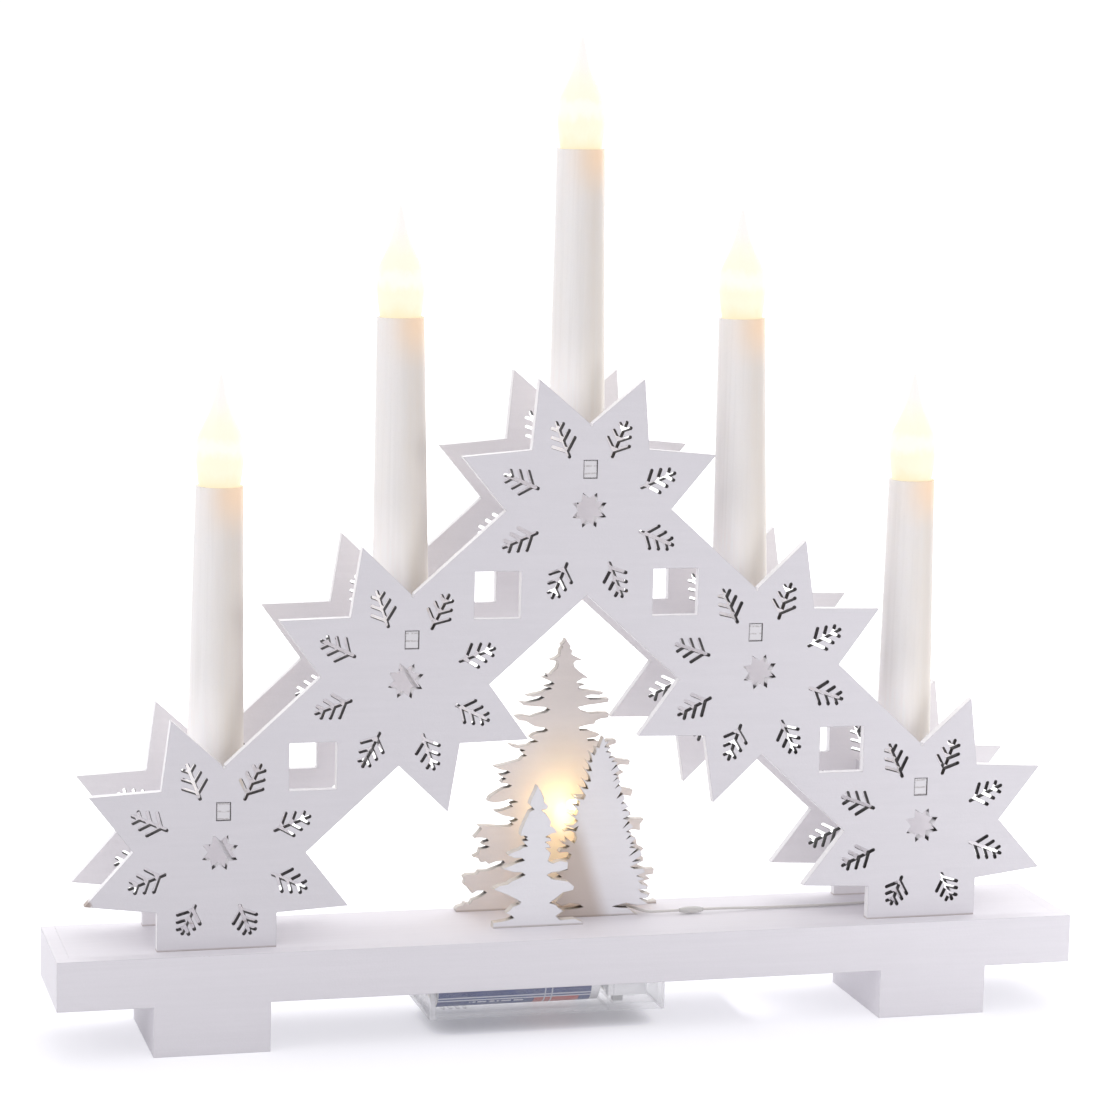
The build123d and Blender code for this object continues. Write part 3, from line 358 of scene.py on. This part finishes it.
def treeFinish(name, colour, shaded, hot):
    g = paintFinish(name + "Paint", colour, paint["plyGrain"], tree["wear"])
    low, high = boxOf(name)
    rise = (g.z - plinthTop) / (high.z - plinthTop)
    across = g.x - (low.x + high.x) / 2
    # 0 on the stem and 1 at the tips of the branches, which shorten upwards
    reach = abs(across) / ((high.x - low.x) / 2 * (1.04 - rise).atLeast(0.05))
    deep = 1.0 - (reach + (g.speck - 0.5) * 0.5).ramp(*tree["burntReach"])
    pale = g.mix(g.mottle.ramp(0.3, 0.7), *tree["walls"])
    free = g.openness(tree["notch"], ownOnly=True).ramp(*tree["notchOpen"])
    walls = g.mix(1.0 - free, pale, tree["burnt"])
    dim = 1.0 - (across + rise * tree["shadeSlope"]).ramp(*tree["shadeEdge"])
    dim = dim * (1.0 - rise.ramp(*tree["shadeRise"])) * shaded
    # Painted shadow where the tree stands on the plinth
    seam = footShadow(g, tree["seam"]) * tree["contactShadeStrength"]
    shade = g.mix(seam, g.mix(dim, g.shade, tree["shade"]), paint["dirt"])
    edge = g.edges(tree["burntEdge"], high=0.25) * deep * tree["burntShade"]
    shade = g.mix(edge, shade, tree["burnt"])
    g.set("baseColor", g.mix(g.flats(), walls, shade))
    g.set("emissionColor", lampGlow(g))
    g.set("emissionStrength", hot)
    return g


for name, look in trees.items():
    dress([name], treeFinish(name, **look))
print("stage: trees painted")


# Millimetres below the rim of a candle
def belowRim(g, number):
    return boxOf("candle_tube_%d" % number)[1].z - g.z


# How far right of a candle's leaning axis a place is, in radii of the tube
def acrossCandle(g, number):
    low, high = boxOf("candle_tube_%d" % number)
    foot = middleOf("candle_shelf_%d" % number)
    tip = middleOf("flame_bulb_%d" % number)
    lean = (tip.x - foot.x) / (tip.z - foot.z)
    radius = (high.y - low.y) / 2
    return (g.x - foot.x - (g.z - foot.z) * lean) / radius


# Ivory tube with painted light and shade: cool and lighter on one side, warm and darker on the other, a
# painted glow where the lamp shines into its rim, and a faint painted glow towards its foot
candle = {"roughness": 0.42, "subsurface": 0.12, "cool": (0.93, 0.9, 0.885), "warm": (0.78, 0.72, 0.665),
          "shadedToneRamp": (-0.6, 0.45), "flowWaves": (0.25, 0.25, 0.03), "flowShare": 0.4,
          "speck": (0.78, 0.75, 0.72), "speckWaves": 2.2, "speckShare": 0.3,
          "drawn": (0.79, 0.76, 0.74), "drawnWaves": (0.9, 0.9, 0.012), "drawnShare": 0.3,
          "lit": (0.83, 0.67, 0.515), "litDepth": (0.5, 17.0), "litSide": (-0.9, 0.5),
          "litGlow": (0.15, 0.075, 0.03), "footDepth": (50.0, 76.0),
          "footGlow": ((0.15, 0.145, 0.15), (0.07, 0.065, 0.05)),
          "flowHeight": 0.08, "speckHeight": 0.02, "softEdge": 0.2}


def candleFinish(number):
    g = Finish("candle%d" % number, roughness=candle["roughness"], subsurfaceWeight=candle["subsurface"],
               subsurfaceScale=0.003, subsurfaceRadius=(1.0, 0.8, 0.6), emissionStrength=1.0)
    below = belowRim(g, number)
    side = acrossCandle(g, number)
    flow = g.noise(candle["flowWaves"], detail=4.0, roughness=0.6)
    speck = g.noise(candle["speckWaves"], detail=2.0)
    drawn = g.noise(candle["drawnWaves"], detail=2.0)
    # painted shade: the tube darkens and warms on one side, as light falls
    warm = (side + flow * candle["flowShare"] - candle["flowShare"] / 2).ramp(*candle["shadedToneRamp"])
    ivory = g.mix(warm, candle["cool"], candle["warm"])
    ivory = g.mix(speck.ramp(0.55, 0.8) * candle["speckShare"], ivory, candle["speck"])
    ivory = g.mix(drawn.ramp(0.4, 0.7) * candle["drawnShare"], ivory, candle["drawn"])
    # Painted glow where the lamp shines into the rim, in the base colour and as emission
    lit = (1.0 - below.ramp(*candle["litDepth"])) * side.ramp(*candle["litSide"])
    # Painted light: a faint glow towards the foot, lightening it where the panels shade it
    foot = g.mix(below.ramp(*candle["footDepth"]), black, g.mix(warm, *candle["footGlow"]))
    g.set("baseColor", g.mix(lit, ivory, candle["lit"]))
    g.set("emissionColor", g.mix(lit, foot, candle["litGlow"]))
    g.relief(flow * candle["flowHeight"] + speck * candle["speckHeight"], candle["softEdge"])
    return g


# The flame: yellow over its foot, a bright band at its widest, white at its tip. Each band gives the heights
# over the rim between which it comes in, and its colour.
flame = {"frosted": (0.2, 0.18, 0.15), "roughness": 0.5, "glow": 0.82, "foot": (1.0, 0.87, 0.57),
         "bands": [(-1.0, 5.0, (1.0, 0.96, 0.74)), (7.0, 11.0, (1.0, 0.99, 0.93)),
                   (12.0, 15.0, (1.0, 0.975, 0.8)), (16.0, 27.0, (1.0, 0.955, 0.965))],
         "ripple": (0.35, 0.35, 0.2), "rippleHeight": 0.3, "sway": 5.0, "softEdge": 0.2}


def flameFinish(number):
    g = Finish("flame%d" % number, baseColor=flame["frosted"], roughness=flame["roughness"],
               emissionStrength=flame["glow"])
    ripple = g.noise(flame["ripple"], detail=2.0)
    up = (ripple - 0.5) * flame["sway"] - belowRim(g, number)
    colour = flame["foot"]
    for low, high, tone in flame["bands"]:
        colour = g.mix(up.ramp(low, high), colour, tone)
    g.set("emissionColor", colour)
    g.relief(ripple * flame["rippleHeight"], flame["softEdge"])
    return g


for number in range(1, len(panel["stars"]) + 1):
    dress(["candle_tube_%d" % number], candleFinish(number))
    dress(["flame_bulb_%d" % number], flameFinish(number))
print("stage: candles dressed")

# Moulded plastic: slow clouding, fine grain and a slightly uneven gloss
plastic = {"cloud": 0.3, "grain": 3.0, "dark": 0.94, "uneven": 0.12, "grainHeight": 0.02,
           "cloudHeight": 0.03, "softEdge": 0.15}
plastics = {
    "plugPlastic": (named("candle_plug"), {"colour": (0.78, 0.76, 0.7), "roughness": 0.45}),
    "lampLens": (named("candle_lamp"), {"colour": (0.9, 0.8, 0.55), "roughness": 0.15,
                                        "emissionColor": (1.0, 0.75, 0.35), "emissionStrength": 1.5}),
    "treeLampLens": (["tree_lamp"], {"colour": (0.9, 0.8, 0.55), "roughness": 0.15,
                                     "emissionColor": (1.0, 0.9, 0.6), "emissionStrength": 4.0}),
    "lampHolder": (["tree_lamp_holder"], {"colour": (0.78, 0.76, 0.72), "roughness": 0.5}),
    "treeWireSheath": (["tree_wire"], {"colour": (0.7, 0.68, 0.66), "roughness": 0.4}),
    "harnessSheath": (["candle_leads", "harness_left", "harness_right", "lead_drops"],
                      {"colour": (0.87, 0.86, 0.87), "roughness": 0.4}),
    "sleevePlastic": (["wire_sleeve"], {"colour": (0.8, 0.79, 0.77), "roughness": 0.15, "alpha": 0.7}),
    "sliderPlastic": (["switch_slider"], {"colour": (0.8, 0.8, 0.79), "roughness": 0.4}),
}


def plasticFinish(name, colour, roughness, **constants):
    g = Finish(name, **constants)
    cloud = g.noise(plastic["cloud"])
    grain = g.noise(plastic["grain"], detail=2.0)
    g.set("baseColor", g.mix(cloud, darker(colour, plastic["dark"]), colour))
    g.set("roughness", roughness + plastic["uneven"] * cloud)
    g.relief(grain * plastic["grainHeight"] + cloud * plastic["cloudHeight"], plastic["softEdge"])
    return g


for name, (pieces, look) in plastics.items():
    dress(pieces, plasticFinish(name, **look))

# Clear plastic: whitish along its edges, a painted highlight, and at the box's ends, with faint haze and
# rubbed streaks, and a faint painted glow though it is no lamp
clear = {"colour": (0.78, 0.78, 0.82), "glow": 0.06, "alpha": 0.05, "haze": 0.14, "hazeWaves": 0.12,
         "streaks": 0.14, "streakWaves": (0.1, 2.4, 2.4), "rim": 0.4, "rimEdge": 0.7,
         "ends": 0.3, "leftEnd": 2.0, "rightEnd": 1.2,
         "roughness": 0.05, "uneven": 0.2, "streakHeight": 0.03, "softEdge": 0.3}


def clearFinish():
    g = Finish("clearPlastic", emissionColor=softWhite, emissionStrength=clear["glow"],
               baseColor=clear["colour"])
    low, high = boxOf("battery_box")
    haze = g.noise(clear["hazeWaves"])
    streaks = g.noise(clear["streakWaves"])
    rim = g.edges(clear["rimEdge"])
    ends = 1.0 - g.x.band(low.x + clear["leftEnd"], high.x - clear["rightEnd"], soft=0.5)
    alpha = clear["alpha"] + haze * clear["haze"] + streaks.ramp(0.55, 0.75) * clear["streaks"]
    # the edges' whiteness is a painted highlight
    g.set("alpha", alpha + rim * clear["rim"] + ends * clear["ends"])
    g.set("roughness", clear["roughness"] + clear["uneven"] * streaks)
    g.relief(streaks * clear["streakHeight"], clear["softEdge"])
    return g


# Plain wrapped cells: blue, with pale lines along and round them, a broken pale row, a red field low on the
# side, and bare ends. Heights count from the cell's middle, and places along it from its left end.
cell = {"blue": ((0.014, 0.035, 0.16), (0.025, 0.065, 0.26)), "cloud": 0.4, "pale": (0.7, 0.73, 0.8),
        "lineWidth": 0.3, "lines": (-4.3, -3.4), "rings": (33.6, 35.7), "ring": (0.6, 0.63, 0.7),
        "row": (-5.2, -4.75), "rowSpan": (11.0, 28.0), "dashes": (0.8, 0.0, 0.0),
        "red": (0.5, 0.06, 0.04), "redSpan": (30.8, 44.2), "redTop": -3.9,
        "bare": (0.8, 0.8, 0.8), "leftBare": 1.2, "rightBare": 2.7,
        "roughness": 0.3, "uneven": 0.15, "cloudHeight": 0.05, "softEdge": 0.3}


def cellFinish():
    g = Finish("cellWrap")
    low, high = boxOf("battery_cell_front")
    along = g.x - low.x
    up = g.z - (low.z + high.z) / 2
    cloud = g.noise(cell["cloud"])
    red = along.band(*cell["redSpan"], soft=0.4) * (1.0 - up.ramp(cell["redTop"] - 0.3, cell["redTop"]))
    wrap = g.mix(red, g.mix(cloud, *cell["blue"]), cell["red"])
    for height in cell["lines"]:
        wrap = g.mix(up.band(height, height + cell["lineWidth"], soft=0.12), wrap, cell["pale"])
    for place in cell["rings"]:
        wrap = g.mix(along.band(place, place + cell["lineWidth"], soft=0.12), wrap, cell["ring"])
    dashes = g.noise(cell["dashes"], detail=1.0).ramp(0.4, 0.5) * along.band(*cell["rowSpan"], soft=0.3)
    wrap = g.mix(dashes * up.band(*cell["row"], soft=0.1), wrap, cell["pale"])
    bare = 1.0 - along.band(cell["leftBare"], high.x - low.x - cell["rightBare"], soft=0.2)
    g.set("baseColor", g.mix(bare, wrap, cell["bare"]))
    g.set("metallic", bare)
    g.set("roughness", cell["roughness"] + cell["uneven"] * cloud)
    g.relief(cloud * cell["cloudHeight"], cell["softEdge"])
    return g


# Drawn and plated metal with fine lines along X
metal = {"lines": (0.4, 6.0, 6.0), "cloud": 0.5, "dark": 0.85, "uneven": 0.2, "lineHeight": 0.02,
         "softEdge": 0.1}
metals = {
    "platedSteel": (["contact_plates", "contact_springs", "box_screws"],
                    {"colour": (0.8, 0.79, 0.77), "roughness": 0.2}),
    "tinnedSteel": (["switch_body"], {"colour": (0.93, 0.93, 0.94), "roughness": 0.42}),
}


def metalFinish(name, colour, roughness):
    g = Finish(name, metallic=1.0)
    lines = g.noise(metal["lines"])
    cloud = g.noise(metal["cloud"])
    g.set("baseColor", g.mix(cloud, darker(colour, metal["dark"]), colour))
    g.set("roughness", roughness + metal["uneven"] * lines)
    g.relief(lines * metal["lineHeight"], metal["softEdge"])
    return g


for name, (pieces, look) in metals.items():
    dress(pieces, metalFinish(name, **look))
dress(["battery_box", "battery_cover"], clearFinish())
dress(["battery_cell_front", "battery_cell_back"], cellFinish())
print("stage: small parts dressed")


# A new object, put into the scene
def addObject(name, data):
    made = bpy.data.objects.new(name, data)
    bpy.context.scene.collection.objects.link(made)
    return made


# Camera: placed by the plinth's corners in the photograph, with its angles in radians
view = {"azimuth": -0.267, "elevation": 0.144, "roll": 0.024, "distance": 0.96974,
        "target": (-0.007532, 0.0, 0.141848), "lens": 107.25, "sensor": 36.0}


def makeCamera():
    data = bpy.data.cameras.new("camera")
    data.lens = view["lens"]
    data.sensor_width = view["sensor"]
    turn, tilt, roll = view["azimuth"], view["elevation"], view["roll"]
    back = Vector((math.sin(turn) * math.cos(tilt), -math.cos(turn) * math.cos(tilt), math.sin(tilt)))
    right = (-back).cross(Vector((0, 0, 1))).normalized()
    up = right.cross(-back)
    across = right * math.cos(roll) + up * math.sin(roll)
    upward = up * math.cos(roll) - right * math.sin(roll)
    matrix = Matrix((across, upward, back)).transposed().to_4x4()
    matrix.translation = Vector(view["target"]) + back * view["distance"]
    camera = addObject("camera", data)
    camera.matrix_world = matrix
    bpy.context.scene.camera = camera


# Soft lights: where each stands, the point that it looks at, its width and height, and its watts
lights = {
    "topLight": {"place": (0.3, 0.6, 1.5), "aim": (0, 0, 0.05), "size": (1.6, 1.2), "power": 9.0,
                 "colour": (1.0, 0.99, 0.98)},
    "leftLight": {"place": (-1.4, -0.5, 0.8), "aim": (0, 0, 0.12), "size": (0.9, 1.2), "power": 4.1,
                  "colour": softWhite},
    "rightRim": {"place": (1.2, 0.8, 0.6), "aim": (0, 0, 0.16), "size": (0.6, 1.0), "power": 3.4,
                 "colour": white},
    "rightLow": {"place": (0.36, -0.3, 0.05), "aim": (0.1, 0, 0.03), "size": (0.2, 0.15), "power": 0.34,
                 "colour": softWhite},
    "underFill": {"place": (0.052, 0, 0.01), "aim": (0.08, 0, 0.012), "size": (0.02, 0.01), "power": 0.0024,
                  "colour": softWhite},
}


def areaLight(name, place, aim, size, power, colour):
    data = bpy.data.lights.new(name, "AREA")
    data.shape = "RECTANGLE"
    data.size, data.size_y = size
    data.energy = power
    data.color = colour
    light = addObject(name, data)
    light.location = place
    light.rotation_euler = (Vector(aim) - Vector(place)).to_track_quat("-Z", "Y").to_euler()
    light.visible_camera = False


# The lamp behind the middle tree, whose light falls on the tall tree; the shift counts from its left side
lampLight = {"power": 0.002, "colour": (1.0, 0.62, 0.2), "radius": 0.0022,
             "shift": (-0.0015, 0.001, -0.0015)}


def makeLampLight():
    data = bpy.data.lights.new("treeLight", "POINT")
    data.energy = lampLight["power"]
    data.color = lampLight["colour"]
    data.shadow_soft_size = lampLight["radius"]
    low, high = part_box("tree_lamp")
    shiftX, shiftY, shiftZ = lampLight["shift"]
    light = addObject("treeLight", data)
    light.location = (low.x + shiftX, (low.y + high.y) / 2 + shiftY, (low.z + high.z) / 2 + shiftZ)


# The studio: even white light, brighter from behind than from the front
studio = {"front": 0.44, "behind": 0.64, "turn": (-0.9, 0.9), "above": 0.52, "aboveFrom": (0.2, 1.0),
          "seen": 1.05, "colour": softWhite}


def makeWorld():
    world = bpy.data.worlds.new("studio")
    bpy.context.scene.world = world
    world.use_nodes = True
    g = Graph(world.node_tree)
    direction = g.split(g.node("ShaderNodeTexCoord", {}, {}, "Generated"))
    light = g.blend(direction[1].ramp(*studio["turn"]), studio["front"], studio["behind"])
    light = light + direction[2].ramp(*studio["aboveFrom"]) * studio["above"]
    strength = g.blend(g.seenRay(), light, studio["seen"])
    background = g.node("ShaderNodeBackground", {}, {"Color": studio["colour"], "Strength": strength})
    g.node("ShaderNodeOutputWorld", {}, {"Surface": background})


# Pale floor: the camera sees it brighter than the light it sends back, but for the shadows; close under the
# box and by the feet it is painted darker, a painted contact shadow. It fades into white round a middle in
# front of the arch, sooner in depth than in width.
ground = {"half": 6000.0, "paper": (0.75, 0.75, 0.77), "bounce": (0.06, 0.06, 0.062),
          "seenPaper": (0.5, 0.5, 0.515), "seenGlow": (0.565, 0.56, 0.59), "contactShadowGlow": (0.1, 0.098, 0.11),
          "corner": 14.0, "cornerOpen": (0.0, 0.55), "fade": (230.0, 480.0), "fadeMiddle": -40.0,
          "fadeDepth": 3.0, "fibre": 0.02, "fibreShade": 0.02, "roughness": 0.9}


def makeFloor():
    mesh = bpy.data.meshes.new("floor")
    half = ground["half"] * mm
    corners = [(-half, -half, 0), (half, -half, 0), (half, half, 0), (-half, half, 0)]
    mesh.from_pydata(corners, [], [(0, 1, 2, 3)])
    floor = addObject("floor", mesh)
    g = Finish("floorPaper", roughness=ground["roughness"], specularIorLevel=0.0, emissionStrength=1.0)
    seen = g.seenRay()
    depth = (g.y - ground["fadeMiddle"]) ** 2 * ground["fadeDepth"]
    away = ((g.x ** 2 + depth) ** 0.5).ramp(*ground["fade"])
    fibre = g.noise(ground["fibre"]) * ground["fibreShade"]
    g.set("baseColor", g.mix(seen, ground["paper"], ground["seenPaper"]))
    # Painted contact shadow: the seen glow drops where the floor is hemmed in
    free = g.openness(ground["corner"]).ramp(*ground["cornerOpen"])
    glow = g.mix(away, g.mix(free, ground["contactShadowGlow"], ground["seenGlow"]), white)
    g.set("emissionColor", g.mix(seen, ground["bounce"], g.mix(fibre, glow, white)))
    mesh.materials.append(g.material)


makeCamera()
makeWorld()
makeFloor()
for name, look in lights.items():
    areaLight(name, **look)
makeLampLight()
bpy.context.scene.view_settings.view_transform = "Standard"
print("stage: camera, light and floor placed")
